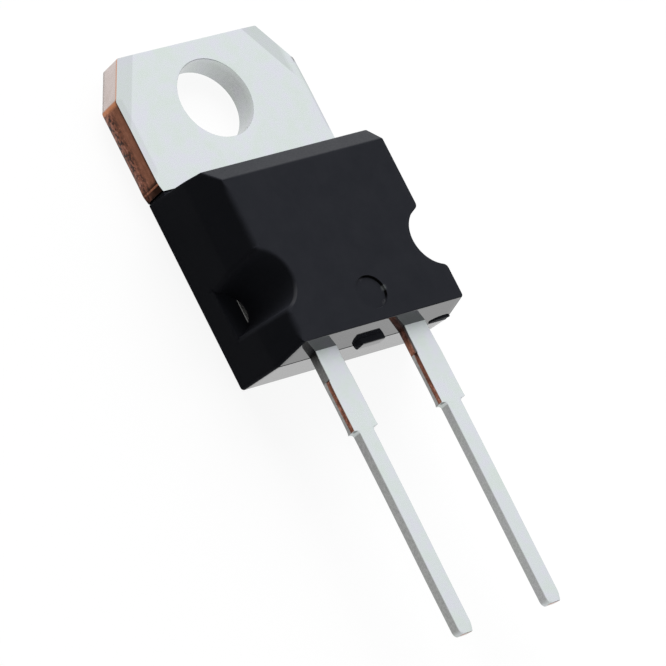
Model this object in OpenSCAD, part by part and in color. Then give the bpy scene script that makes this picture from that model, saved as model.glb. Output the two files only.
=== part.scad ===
// High voltage diode in a two-lead moulded power package with a metal mounting tab.
// The origin is on the axis of the tab's hole, in the plane of the back face.
// Seen from the front, +X is to the right, +Y runs to the tab's top edge and +Z leaves the front.

/* [Tab and header] */
// Width of the mounting tab
tab_width = 10.1; // [9.9:0.05:10.6]
// Thickness of the tab and of the header behind the moulding
tab_thickness = 1.27; // [1.1:0.01:1.4]
// Length of the full-width tab, from its top edge to its shoulders at the moulding
tab_length = 6.25; // [6:0.05:6.3]
// Distance from the hole's axis to the tab's top edge
hole_to_top = 2.8; // [2.5:0.05:3.1]
// Diameter of the mounting hole
hole_diameter = 3.83; // [3.5:0.01:4.1]
// Width of the cut-off top corners
corner_cut_x = 1.12; // [0.6:0.02:1.4]
// Height of the cut-off top corners
corner_cut_y = 1.88; // [1:0.02:2.2]
// Small cut on the shoulder corners beside the moulding
shoulder_cut = 0.2; // [0.1:0.02:0.3]
// Width of the header that the moulding grips
header_width = 8.1; // [7.8:0.05:8.5]
// Distance from the header's lower end to the parting line at the moulding's lower end
header_from_end = 2.66; // [2.5:0.02:2.9]
// Width of the step along the header's back edges that keys it into the moulding
key_width = 0.25; // [0.1:0.05:0.4]
// Height of that step above the back face
key_height = 0.4; // [0.2:0.05:0.6]

/* [Moulding] */
// Width of the moulding at its parting line
body_width = 9.84; // [9.7:0.02:9.9]
// Thickness from the back face to the front face
body_thickness = 4.5; // [4.4:0.05:4.7]
// Distance from the tab's top edge to the moulding's top wall at the back face
body_start = 6.32; // [6.32:0.02:6.6]
// Distance from the tab's top edge to the parting line at the moulding's lower end
package_length = 15.56; // [15.3:0.02:15.8]
// Draft of the top wall, in degrees
top_draft = 6.5; // [3:0.5:9]
// Height of the bevel between the top wall and the front face
bevel_height = 0.8; // [0.4:0.05:1]
// Run of that bevel down the front face
bevel_run = 0.82; // [0.4:0.02:1]
// Draft of the lower end behind the parting line, in degrees
end_draft_back = 5.2; // [2:0.2:7]
// Draft of the lower end in front of the parting line, in degrees
end_draft_front = 6.8; // [2:0.2:9]
// Draft of the sides behind the parting line, in degrees
side_draft_back = 0.5; // [0:0.1:2]
// Draft of the sides in front of the parting line, in degrees
side_draft_front = 10.8; // [5:0.2:12]
// Distance from the middle of the side notches to the parting line at the moulding's lower end
notch_from_end = 3.21; // [3.1:0.01:3.5]
// How far each notch's floor reaches over the header, which shows there
notch_bite = 0.17; // [0.1:0.01:0.2]
// Radius of the notches at their floor, on the header's front face
notch_floor_radius = 1.05; // [0.95:0.01:1.1]
// Draft of the notch walls, in degrees
notch_draft = 7; // [3:0.5:8]
// Diameter of the round ejector mark in the front face
mark_diameter = 1.5; // [1:0.05:2]
// Depth of the ejector mark
mark_depth = 0.05; // [0.02:0.01:0.1]
// Distance of the mark's middle from the front face's lower edge
mark_from_end = 1.3; // [1.1:0.05:2]
// Length of the nub that fills the empty middle lead slot
nub_length = 0.22; // [0.1:0.02:0.4]
// Distance of the gate scar from the middle plane
gate_x = 4.32; // [4.1:0.02:4.4]
// Width of the gate scar
gate_width = 0.92; // [0.5:0.02:1]
// Thickness of the gate scar
gate_thickness = 0.26; // [0.16:0.02:0.4]
// Height of the gate scar above the parting line
gate_height = 0.05; // [0.02:0.01:0.1]

/* [Leads] */
// Distance between the middles of the two leads
lead_pitch = 5.08; // [4.9:0.02:5.2]
// Thickness of the lead sheet
lead_thickness = 0.51; // [0.4:0.01:0.6]
// Height of the leads' back above the back face
lead_height = 2.7; // [2.5:0.02:2.8]
// Free length of the leads below the parting line
lead_length = 13.39; // [10:0.1:14]
// Width of the leads where they leave the moulding
root_width = 1.19; // [1:0.01:1.25]
// Free length of that root
root_length = 1.28; // [1:0.02:1.6]
// Length of the slope from the root to the wide stretch
root_slope = 0.08; // [0.04:0.02:0.2]
// Width of the leads where the tie bar was cut off
shoulder_width = 1.37; // [1.3:0.01:1.6]
// Distance from the parting line to the end of the wide stretch
shoulder_length = 3.72; // [3.3:0.02:4]
// How far the small burrs stand out at the end of the wide stretch
burr = 0.06; // [0.02:0.01:0.1]
// Length of those burrs along the wide stretch
burr_length = 0.16; // [0.1:0.02:0.3]
// Size of the small fillet from the wide stretch to the narrow pin
pin_fillet = 0.1; // [0.04:0.02:0.14]
// Width of the narrow stretch that enters a board
pin_width = 0.79; // [0.65:0.01:0.9]
// Width of the taper at each side of a lead's tip
tip_taper_x = 0.16; // [0.05:0.01:0.25]
// Length of the taper at a lead's tip
tip_taper_y = 0.26; // [0.1:0.02:0.5]

/* [Inside] */
// Part of the free header below the solder that the cathode lead's foot covers
foot_share = 0.7; // [0.5:0.05:0.9]
// Distance from the header's lower end to the bend where the strap of the cathode lead starts to rise
strap_start = 0.2; // [0.1:0.02:0.3]
// Length of the strap's level end, which runs on into the free lead
strap_end = 0.2; // [0.1:0.02:0.3]
// Width of the strap and of its foot
strap_width = 1.4; // [1.25:0.05:1.4]
// Distance from the parting line to the inner ends of the strap's bend and of the anode post
anchor_depth = 0.7; // [0.6:0.02:0.8]
// Width of the anode post that takes the wires
post_width = 2.6; // [2.4:0.05:2.7]
// Length of the anode post
post_length = 1.3; // [1.2:0.02:1.36]
// Side of the square chip
chip_size = 3.3; // [3:0.05:3.4]
// Thickness of the chip
chip_thickness = 0.25; // [0.2:0.01:0.32]
// Thickness of the solder under the chip
solder_thickness = 0.06; // [0.03:0.01:0.1]
// How far the solder reaches past the chip's edges
solder_margin = 0.1; // [0.05:0.01:0.12]
// Diameter of the bond wires
wire_diameter = 0.38; // [0.3:0.01:0.4]
// Distance between the two wires
wire_spacing = 0.8; // [0.7:0.02:0.9]
// Place of the wires' feet on the chip, to the right of its middle
wire_foot_x = 0.5; // [0.3:0.05:0.6]
// Place of the wires' feet on the chip, below its middle
wire_foot_y = 0.75; // [0.5:0.05:0.8]
// Length of each bonded foot
foot_length = 0.7; // [0.6:0.02:0.8]
// Angle at which the wires leave the chip, in degrees
wire_rise = 55; // [50:1:60]

/* [Hidden] */
$fn = 64;

// How far a cutting solid reaches past the face that it cuts
cut_over = 1;

// Heights along the package, measured from the hole's axis
tab_top_y = hole_to_top;
shoulder_y = tab_top_y - tab_length;
wall_back_y = tab_top_y - body_start;
parting_y = tab_top_y - package_length;
header_end_y = parting_y + header_from_end;
notch_y = parting_y + notch_from_end;
anchor_y = parting_y + anchor_depth;
root_end_y = parting_y - root_length;
shoulder_end_y = parting_y - shoulder_length;
tip_y = parting_y - lead_length;

// The moulding's profile: heights along Z and where its end walls cross them
bevel_z = body_thickness - bevel_height;
wall_bevel_y = wall_back_y - bevel_z * tan(top_draft);
front_top_y = wall_bevel_y - bevel_run;
end_back_y = parting_y + lead_height * tan(end_draft_back);
end_front_y = parting_y + (body_thickness - lead_height) * tan(end_draft_front);
side_back_x = body_width / 2 - lead_height * tan(side_draft_back);
side_front_x = body_width / 2 - (body_thickness - lead_height) * tan(side_draft_front);
notch_axis_x = header_width / 2 - notch_bite + notch_floor_radius;
notch_depth = body_thickness - tab_thickness + cut_over;
notch_top_radius = notch_floor_radius + notch_depth * tan(notch_draft);

// Place of the leads: each one's middle from the middle plane, and their front face
lead_x = lead_pitch / 2;
lead_front_z = lead_height + lead_thickness;

// The chip on its solder, midway along the part of the header that the moulding covers
chip_y = (wall_back_y + header_end_y) / 2;
chip_back_z = tab_thickness + solder_thickness;
chip_front_z = chip_back_z + chip_thickness;
solder_size = chip_size + 2 * solder_margin;
solder_end_y = chip_y - solder_size / 2;

// The strap of the cathode lead: a foot on the header, then a slope up to the lead's height
foot_top_y = header_end_y + foot_share * (solder_end_y - header_end_y);
strap_start_y = header_end_y + strap_start;
strap_angle = atan((lead_height - tab_thickness) / (strap_start_y - anchor_y));
strap_mitre = lead_thickness * tan(strap_angle / 2);

// The wires: each is one round arc between two pressed feet, on the chip and on the post
foot_height = 1.2 * wire_diameter;
foot_width = 1.4 * wire_diameter;
foot_start = [wire_foot_x, chip_y - wire_foot_y];
foot_end = [lead_x, anchor_y + post_length / 2];
wire_line = foot_end - foot_start;
wire_heading = atan2(wire_line[1], wire_line[0]);
wire_run = norm(wire_line);
wire_climb = lead_front_z - chip_front_z;
wire_slope = atan(wire_climb / wire_run);
wire_sweep = 2 * (wire_rise - wire_slope);
wire_radius = norm([wire_run, wire_climb]) / (2 * sin(wire_sweep / 2));

// The right half of an outline, given from its top to its bottom, with its mirrored left half
function both_sides(half) = concat(half, [for (i = [len(half) - 1 : -1 : 0]) [-half[i][0], half[i][1]]]);

// A flat sheet outline in the X-Y plane, lifted to the height low and as thick as asked
module sheet(outline, low, thick) {
    translate([0, 0, low]) linear_extrude(thick) polygon(outline);
}

// A Y-Z profile carried along X, wide to each side of the middle plane
module along_x(profile, wide) {
    rotate([90, 0, 90]) translate([0, 0, -wide / 2]) linear_extrude(wide) polygon(profile);
}

// The free lead: root, wide stretch with its burrs, narrow pin and tapered tip
module free_lead() {
    outline = both_sides([
        [root_width / 2, anchor_y],
        [root_width / 2, root_end_y],
        [shoulder_width / 2, root_end_y - root_slope],
        [shoulder_width / 2, shoulder_end_y + burr_length],
        [shoulder_width / 2 + burr, shoulder_end_y],
        [pin_width / 2 + pin_fillet, shoulder_end_y - pin_fillet / 2],
        [pin_width / 2, shoulder_end_y - 2 * pin_fillet],
        [pin_width / 2, tip_y + tip_taper_y],
        [pin_width / 2 - tip_taper_x, tip_y]
    ]);
    sheet(outline, lead_height, lead_thickness);
}

// The plate: full-width tab with cut corners, then the narrower header inside the moulding
module header_plate() {
    outline = both_sides([
        [tab_width / 2 - corner_cut_x, tab_top_y],
        [tab_width / 2, tab_top_y - corner_cut_y],
        [tab_width / 2, shoulder_y + shoulder_cut],
        [tab_width / 2 - shoulder_cut, shoulder_y],
        [header_width / 2, shoulder_y],
        [header_width / 2, header_end_y]
    ]);
    difference() {
        sheet(outline, 0, tab_thickness);
        translate([0, 0, -cut_over]) cylinder(d = hole_diameter, h = tab_thickness + 2 * cut_over);
        key_step();
    }
}

// The step along the header's back edges that the moulding flows under
module key_step() {
    key_top_y = wall_back_y - key_width;
    difference() {
        translate([-header_width / 2 - cut_over, header_end_y - cut_over, -cut_over])
            cube([header_width + 2 * cut_over, key_top_y - header_end_y + cut_over, key_height + cut_over]);
        translate([-header_width / 2 + key_width, header_end_y + key_width, -2 * cut_over])
            cube([header_width - 2 * key_width, package_length, key_height + 3 * cut_over]);
    }
}

// The foot welded on the header's front, and the strap that rises from it to the height of the leads
module strap() {
    profile = [
        [foot_top_y, tab_thickness],
        [strap_start_y, tab_thickness],
        [anchor_y, lead_height],
        [anchor_y - strap_end, lead_height],
        [anchor_y - strap_end, lead_front_z],
        [anchor_y + strap_mitre, lead_front_z],
        [strap_start_y + strap_mitre, tab_thickness + lead_thickness],
        [foot_top_y, tab_thickness + lead_thickness]
    ];
    along_x(profile, strap_width);
}

// The tab and the header behind the moulding, one thick plate
module mounting_tab() {
    color("gainsboro") header_plate();
}

// The cathode lead with its strap and foot
module cathode_lead() {
    color("gainsboro") translate([-lead_x, 0, 0]) union() {
        free_lead();
        strap();
    }
}

// The anode lead with the broad post that takes the wires inside the moulding
module anode_lead() {
    color("gainsboro") translate([lead_x, 0, 0]) union() {
        free_lead();
        translate([-post_width / 2, anchor_y, lead_height]) cube([post_width, post_length, lead_thickness]);
    }
}

// The chip, a square of silicon on its solder
module diode_chip() {
    color("dimgray") translate([-chip_size / 2, chip_y - chip_size / 2, chip_back_z])
        cube([chip_size, chip_size, chip_thickness]);
}

// The thin layer of solder between the chip and the header
module chip_solder() {
    color("silver") translate([-solder_size / 2, solder_end_y, tab_thickness])
        cube([solder_size, solder_size, solder_thickness]);
}

// A pressed foot of the wire, flat on the face at the height given, about its middle
module wire_foot(middle, face_z) {
    translate([middle - foot_length / 2, -foot_width / 2, face_z])
        cube([foot_length, foot_width, foot_height]);
}

// One wire in the X-Z plane: an arc that leaves the chip's foot steeply and comes level to the post's
module wire_loop() {
    low = chip_front_z + foot_height / 2;
    wire_foot(0, chip_front_z);
    wire_foot(wire_run, lead_front_z);
    translate([wire_radius * sin(wire_rise), 0, low - wire_radius * cos(wire_rise)])
        rotate([90, 0, 0]) rotate(90 + wire_rise - wire_sweep)
            rotate_extrude(angle = wire_sweep) translate([wire_radius, 0]) circle(d = wire_diameter);
}

// A wire set across its line by the distance given, from the chip to the anode post
module bond_wire(across) {
    color("lightgray") translate([foot_start[0], foot_start[1], 0]) rotate(wire_heading)
        translate([0, across, 0]) wire_loop();
}

module bond_wire_left() {
    bond_wire(-wire_spacing / 2);
}

module bond_wire_right() {
    bond_wire(wire_spacing / 2);
}

// The drafted outer block: its end walls and bevel from one profile, its sides from another
module drafted_block() {
    lengthwise = [
        [wall_back_y, 0],
        [wall_bevel_y, bevel_z],
        [front_top_y, body_thickness],
        [end_front_y, body_thickness],
        [parting_y, lead_height],
        [end_back_y, 0]
    ];
    crosswise = both_sides([
        [side_front_x, body_thickness],
        [body_width / 2, lead_height],
        [side_back_x, 0]
    ]);
    intersection() {
        along_x(lengthwise, 2 * body_width);
        translate([0, tab_top_y, 0]) rotate([90, 0, 0]) linear_extrude(2 * package_length) polygon(crosswise);
    }
}

// The two half-round notches, drafted, from the front down to the header's front face
module side_notches() {
    for (side = [-1, 1])
        translate([side * notch_axis_x, notch_y, tab_thickness])
            cylinder(r1 = notch_floor_radius, r2 = notch_top_radius, h = notch_depth);
}

// The shallow round mark that the ejector left near the front face's lower edge
module ejector_mark() {
    translate([0, end_front_y + mark_from_end, body_thickness - mark_depth])
        cylinder(d = mark_diameter, h = mark_depth + cut_over);
}

// The nub in the empty middle lead slot
module slot_nub() {
    translate([-root_width / 2, parting_y - nub_length, lead_height])
        cube([root_width, nub_length + anchor_depth, lead_thickness]);
}

// The scar of the broken-off gate beside the anode lead, a bar with round ends
module gate_scar() {
    flat = gate_width - gate_thickness;
    translate([gate_x, parting_y + anchor_depth, lead_height + gate_thickness / 2])
        rotate([90, 0, 0]) linear_extrude(anchor_depth + gate_height) {
            square([flat, gate_thickness], center = true);
            for (side = [-1, 1]) translate([side * flat / 2, 0]) circle(d = gate_thickness);
        }
}

// The moulding, cast around the header, the leads, the chip and the wires
module mould_body() {
    color([0.17, 0.17, 0.19]) difference() {
        union() {
            drafted_block();
            slot_nub();
            gate_scar();
        }
        side_notches();
        ejector_mark();
        mounting_tab();
        cathode_lead();
        anode_lead();
        diode_chip();
        chip_solder();
        bond_wire_left();
        bond_wire_right();
    }
}

mould_body();
mounting_tab();
cathode_lead();
anode_lead();
diode_chip();
chip_solder();
bond_wire_left();
bond_wire_right();
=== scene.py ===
import math

import bmesh
import bpy
import numpy as np
from mathutils import Matrix, Vector


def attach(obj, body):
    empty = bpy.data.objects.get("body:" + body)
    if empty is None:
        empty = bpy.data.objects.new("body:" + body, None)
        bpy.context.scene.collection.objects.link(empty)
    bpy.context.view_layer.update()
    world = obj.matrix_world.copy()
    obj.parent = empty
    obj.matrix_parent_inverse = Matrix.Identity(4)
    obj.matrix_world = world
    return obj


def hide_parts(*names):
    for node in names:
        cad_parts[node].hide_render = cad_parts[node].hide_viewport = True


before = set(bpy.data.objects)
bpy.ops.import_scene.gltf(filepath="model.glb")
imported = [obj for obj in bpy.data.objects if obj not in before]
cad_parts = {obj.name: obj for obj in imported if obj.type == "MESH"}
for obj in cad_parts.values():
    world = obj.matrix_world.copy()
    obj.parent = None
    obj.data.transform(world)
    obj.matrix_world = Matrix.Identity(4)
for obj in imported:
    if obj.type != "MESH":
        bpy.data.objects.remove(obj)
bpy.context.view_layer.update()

# All sizes below are in millimetres, in the frame of the CAD model.
MM = 0.001
HAIR = 1e-6

# Tab and header
TAB_HALF, TAB_T, TAB_TOP, TAB_CORNER = 5.05, 1.27, 2.80, 0.06
HOLE_R, HOLE_SOFT = 1.885, 0.03
CUT_X, CUT_Y = 1.12, 1.88
PRESSED, PRESS_DEPTH = 0.73, 0.03
ROLLED, ROLL_DEPTH = 0.34, 0.02
SHOULDER_Y, SHOULDER_IN, SHOULDER_UP = -3.50, 0.09, 0.37
HEADER_HALF, HEADER_END = 4.05, -10.10
HEADER_SHOWN, HEADER_LIP = -5.50, 0.05
KEY_W, KEY_H = 0.25, 0.40
# Numbers of the outline's edges, counted from the left cut corner by way of the header
CUTS, FLANKS, SHOULDERS, LEDGES, HEADER_EDGES, TOP_EDGE = (0, 10), (1, 9), (2, 8), (3, 7), (4, 5, 6), 11

# Moulding
FRONT_Z, PART_Z, BEVEL_Z = 4.50, 2.70, 3.70
FLOOR_Z, BACK_Z = 1.262, 0.006
SIDE_HALF, RIGHT_HALF, PART_Y, WALL_Y = 5.00, 4.85, -12.76, -3.52
SIDE_BACK, SIDE_FRONT = math.tan(math.radians(0.1)), math.tan(math.radians(13.0))
END_BACK, END_FRONT = math.tan(math.radians(5.2)), math.tan(math.radians(6.8))
TOP_DRAFT, BEVEL_SLOPE = math.tan(math.radians(6.5)), 0.82 / 0.80
SIDE_EASE, END_EASE, BEVEL_EASE = 0.16, 0.012, 0.05
NOTCH_X, NOTCH_Y, NOTCH_R = 4.93, -9.55, 1.05
NOTCH_DRAFT = math.tan(math.radians(7.0))
CORNER, END_CORNER, LIP = 0.07, 0.15, 0.26
# How far the front edge rounds over, also at the top, what the left notch and side add, and the back edge
EDGE_SOFT, TOP_SOFT, NOTCH_SOFT, LEFT_SOFT, BACK_SOFT = 0.045, 0.06, 0.12, 0.22, 0.06
SEAM, SEAM_SPREAD, SEAM_HALF = 0.012, 0.016, 0.045
MARK_X, MARK_Y, MARK_R, MARK_DEPTH = 0.04, -11.245, 0.785, 0.09
BAR_START = -12.4
NUB_X, NUB_HALF, NUB_LOW, NUB_END = 0.015, 0.755, 2.63, -12.97
GATE_X, GATE_HALF, GATE_LOW, GATE_HIGH, GATE_END, GATE_LEAN = 4.16, 0.56, 2.76, 3.07, -12.78, 0.07
FLASH = ((-4.50, 0.43), (4.44, 0.37))
MATTE, POLISHED, SATIN = 0, 1, 2

# Leads
LEAD_X, LEAD_BACK, LEAD_MID, LEAD_FRONT = 2.54, 2.70, 2.945, 3.21
ANCHOR_Y, INSIDE_Y, ROOT_END = -12.06, -12.30, -14.05
BARE_END, EAR_END, PIN_Y, TIP_Y = -16.46, -16.48, -16.60, -26.15
ROOT_HALF, STRAP_HALF, POST_HALF = 0.595, 0.70, 1.30
STRAP_FOOT, STRAP_BEND = -9.08, HEADER_END + 0.2
EDGE_FRONT, EDGE_BACK = 0.045, 0.035
RISE_SLOPE, RISE_START, RISE_RUN, RISE_Z = 0.09, -13.10, 0.45, 3.10
TIP_LEAN, TIP_START, TIP_TUCK = 0.10, -25.70, 0.02
# Root: place and right half-width, beside ROOT_HALF on the left
ROOT = ((-12.62, 0.615), (-12.72, 0.616), (-12.80, 0.618), (-12.88, 0.620), (-12.96, 0.623), (-13.06, 0.628),
        (-13.20, 0.634), (-13.35, 0.640), (-13.50, 0.643), (-13.75, 0.650), (-14.00, 0.660))
# Sheared stretch and its ears: place and half-widths on the left in front, on the left behind, on the right
SHEARED = ((-14.045, 0.596, 0.600, 0.662), (-14.06, 0.608, 0.596, 0.665), (-14.11, 0.622, 0.598, 0.670),
           (-14.40, 0.636, 0.596, 0.675), (-15.10, 0.642, 0.588, 0.680), (-15.80, 0.642, 0.592, 0.685),
           (-16.26, 0.636, 0.603, 0.690), (-16.40, 0.638, 0.622, 0.700), (-16.455, 0.642, 0.642, 0.710),
           (-16.47, 0.640, 0.648, 0.712), (-16.485, 0.630, 0.638, 0.705), (-16.505, 0.480, 0.490, 0.520),
           (-16.54, 0.435, 0.440, 0.460), (-16.59, 0.408, 0.410, 0.415))
# Pin and tip: place and half-widths on the left and on the right
PIN = ((-16.65, 0.405, 0.395), (-17.40, 0.405, 0.395), (-19.50, 0.405, 0.395), (-21.50, 0.405, 0.395),
       (-23.50, 0.405, 0.395), (-25.70, 0.405, 0.390), (-25.80, 0.405, 0.378), (-25.88, 0.403, 0.360),
       (-25.96, 0.392, 0.335), (-26.03, 0.368, 0.312), (-26.09, 0.325, 0.288), (-26.13, 0.283, 0.268),
       (TIP_Y, 0.245, 0.250))
# A lead's section from the middle of the front around one side to the middle of the back. Each point has the
# half-width that it follows, in front (0) or behind (1), how far inside that it lies, and its height.
SECTION = np.array([
    (0, 9.0, LEAD_FRONT), (0, 0.18, LEAD_FRONT), (0, EDGE_FRONT, LEAD_FRONT),
    (0, 0.38 * EDGE_FRONT, LEAD_FRONT - 0.09 * EDGE_FRONT),
    (0, 0.09 * EDGE_FRONT, LEAD_FRONT - 0.38 * EDGE_FRONT),
    (0, 0.0, LEAD_FRONT - EDGE_FRONT), (0, 0.0, 3.04), (0, 0.0, LEAD_MID + 0.015),
    (1, 0.0, LEAD_MID - 0.015), (1, 0.0, LEAD_BACK + EDGE_BACK),
    (1, 0.3 * EDGE_BACK, LEAD_BACK + 0.3 * EDGE_BACK), (1, EDGE_BACK, LEAD_BACK),
    (1, 0.18, LEAD_BACK), (1, 9.0, LEAD_BACK)])

# Colours, or stops of a colour ramp
TIN = ((0.36, (0.705, 0.775, 0.745)), (0.50, (0.725, 0.775, 0.785)), (0.64, (0.74, 0.755, 0.82)))
# Grey of sheared plate, also used as painted shade on the sides of the metal
SHEARED_AND_SHADED_TIN = ((0.3, (0.205, 0.206, 0.200)), (0.7, (0.310, 0.310, 0.302)))
BLUSHED_TIN = ((0.35, (0.53, 0.445, 0.41)), (0.65, (0.61, 0.525, 0.50)))
# Painted shade tones for metal: the pressed strips beside the cut corners, and a near-black where shade falls
PRESSED_SHADE_TIN, SHADE_TONE = (0.40, 0.43, 0.43), (0.010, 0.008, 0.007)
COPPER = ((0.30, (0.105, 0.042, 0.024)), (0.50, (0.17, 0.064, 0.040)), (0.72, (0.27, 0.115, 0.075)))
DARK_COPPER, LIGHT_COPPER = (0.030, 0.017, 0.014), (0.40, 0.19, 0.14)
PLAIN_COPPER, FRESH_COPPER = (0.168, 0.066, 0.034), (0.60, 0.24, 0.11)
EPOXY = ((0.3, (0.0280, 0.0300, 0.0375)), (0.7, (0.0330, 0.0350, 0.0430)))
# Painted light on the moulding: a highlight tone, a shade tone and a glint tone
HIGHLIGHT_EPOXY, SHADE_EPOXY, EPOXY_GLINT = (0.078, 0.079, 0.088), (0.002, 0.002, 0.002), (0.40, 0.43, 0.43)


# Mesh making

# Shares of a surface: greyer sheared plate and painted light (shade on metal, highlights on epoxy), blushed
# plate, bare copper, freshly cut copper and painted glints, painted shade, rougher plate
MARKS = ("dull", "blush", "copper", "fresh", "soot", "rough")
CREASE = math.radians(34)


class Shell:
    """Collects patches, each a grid of points in rows and columns, and closes them into one mesh."""

    def __init__(self):
        self.points, self.quads, self.finish = [], [], []
        self.marks = {name: [] for name in MARKS}
        self.count = 0

    def add(self, grid, wrap=False, finish=0, **marks):
        """Adds a grid (rows, columns, 3); wrap joins the last column to the first one."""
        rows, cols = grid.shape[:2]
        index = self.count + np.arange(rows * cols).reshape(rows, cols)
        if wrap:
            index = np.concatenate([index, index[:, :1]], axis=1)
        quads = np.stack([index[:-1, :-1], index[:-1, 1:], index[1:, 1:], index[1:, :-1]], axis=-1)
        self.points.append(grid.reshape(-1, 3))
        self.quads.append(quads.reshape(-1, 4))
        self.finish.append(np.broadcast_to(finish, quads.shape[:2]).reshape(-1))
        for name in MARKS:
            share = np.broadcast_to(marks.get(name, 0.0), (rows, cols))
            self.marks[name].append(share.astype(float).reshape(-1))
        self.count += rows * cols

    def build(self, name, materials):
        """Welds points that coincide, drops faces without area and makes the mesh object."""
        points, quads = np.concatenate(self.points), np.concatenate(self.quads)
        finish = np.concatenate(self.finish)
        _, first, weld = np.unique(np.round(points, 5), axis=0, return_index=True, return_inverse=True)
        weld = weld.reshape(-1)
        points, quads = points[first], weld[quads]
        share = np.bincount(weld)
        repeats = quads == np.roll(quads, -1, axis=1)
        whole = (repeats.sum(1) == 0) & (quads[:, 0] != quads[:, 2]) & (quads[:, 1] != quads[:, 3])
        three = repeats.sum(1) == 1
        keep = np.sort(np.argsort(repeats[three], axis=1, kind="stable")[:, :3], axis=1)
        tris = np.take_along_axis(quads[three], keep, axis=1)
        mesh = bpy.data.meshes.new(name)
        mesh.from_pydata((points * MM).tolist(), [], quads[whole].tolist() + tris.tolist())
        finish = np.concatenate([finish[whole], finish[three]])
        mesh.polygons.foreach_set("material_index", finish.astype(np.int32))
        for mark, parts in self.marks.items():
            layer = mesh.attributes.new(mark, "FLOAT", "POINT")
            value = np.bincount(weld, weights=np.concatenate(parts)) / share
            layer.data.foreach_set("value", value.astype(np.float32))
        bm = bmesh.new()
        bm.from_mesh(mesh)
        bmesh.ops.recalc_face_normals(bm, faces=bm.faces)
        if bm.calc_volume(signed=True) < 0:
            bmesh.ops.reverse_faces(bm, faces=bm.faces)
        bm.to_mesh(mesh)
        bm.free()
        mesh.shade_smooth()
        mesh.set_sharp_from_angle(angle=CREASE)
        obj = bpy.data.objects.new(name, mesh)
        bpy.context.scene.collection.objects.link(obj)
        for material in materials:
            mesh.materials.append(material)
        normals = obj.modifiers.new("even_normals", "WEIGHTED_NORMAL")
        normals.keep_sharp = True
        return obj


def step(value, low, high):
    """A smooth step from 0 at low to 1 at high."""
    t = np.clip((value - low) / (high - low), 0.0, 1.0)
    return t * t * (3.0 - 2.0 * t)


def ramp(d, ease):
    """A slope that starts at zero: level below -ease, straight above ease, a parabola between."""
    return np.where(d < -ease, 0.0, np.where(d > ease, d, (d + ease) ** 2 / (4.0 * ease)))


# Moulding

def side_x(z, right=False):
    """Distance of a side from the middle at height z: two drafts that meet at the parting line.

    The right side stands a little further in there, and has less draft to the same front edge."""
    d, less = z - PART_Z, (SIDE_HALF - RIGHT_HALF) * right
    front = SIDE_FRONT - less / (FRONT_Z - PART_Z)
    return SIDE_HALF - less + d * SIDE_BACK - (SIDE_BACK + front) * ramp(d, SIDE_EASE)


def end_y(z):
    """Place of the lower end at height z: two drafts that meet at the parting line."""
    d = z - PART_Z
    return PART_Y - d * END_BACK + (END_BACK + END_FRONT) * ramp(d, END_EASE)


def top_y(z):
    """Place of the top wall at height z: a draft, then the bevel to the front face."""
    return WALL_Y - z * TOP_DRAFT - (BEVEL_SLOPE - TOP_DRAFT) * ramp(z - BEVEL_Z, BEVEL_EASE)


# Points of a side, from the lower end up: corner, wall, lip, notch, lip, wall and corner
SIDE_COUNTS = np.array([5, 14, 9, 30, 9, 22, 6])
NOTCH_PARTS, NOTCH_PART = (2, 3, 4), 3
SIDE_PART = np.repeat(np.arange(len(SIDE_COUNTS)), SIDE_COUNTS)
SIDE_GAPS = SIDE_COUNTS - (np.arange(len(SIDE_COUNTS)) == len(SIDE_COUNTS) - 1)
SIDE_AT = np.concatenate([np.arange(n) / gaps for n, gaps in zip(SIDE_COUNTS, SIDE_GAPS)])
# Columns of the front face: a patch of close ones around the ejector mark, then wider ones to the sides
PATCH = np.array([0.0, 0.1, 0.2, 0.3, 0.4, 0.5, 0.6, 0.69, 0.74, 0.76, 0.78, 0.795, 0.84, 0.93, 1.05])
PATCH = np.concatenate([-PATCH[:0:-1], PATCH])
PATCH_ROUND, PATCH_BELOW, OUTER_COUNT = 0.84, 6, 14
REACH = side_x(FRONT_Z) - CORNER
OUTER = np.linspace(PATCH[-1], REACH, OUTER_COUNT)[1:]
COLUMNS = np.concatenate([-OUTER[::-1], PATCH, OUTER])
STRETCH = np.linspace(0, 1, OUTER_COUNT)[1:]
STRETCH = np.concatenate([np.linspace(1, 0, OUTER_COUNT)[:-1], np.zeros(len(PATCH)), STRETCH])
# Where the lower end, the top wall and the sides lie in a loop around the moulding
WIDE, TALL = len(COLUMNS), len(SIDE_AT)
COUNT = 2 * (WIDE + TALL - 2)
END, TOP = slice(0, WIDE), slice(WIDE + TALL - 2, 2 * WIDE + TALL - 2)
SIDES = np.r_[END.stop:TOP.start, TOP.stop:COUNT]
# The step in height that shows which way a wall runs
NUDGE = 0.04


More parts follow.
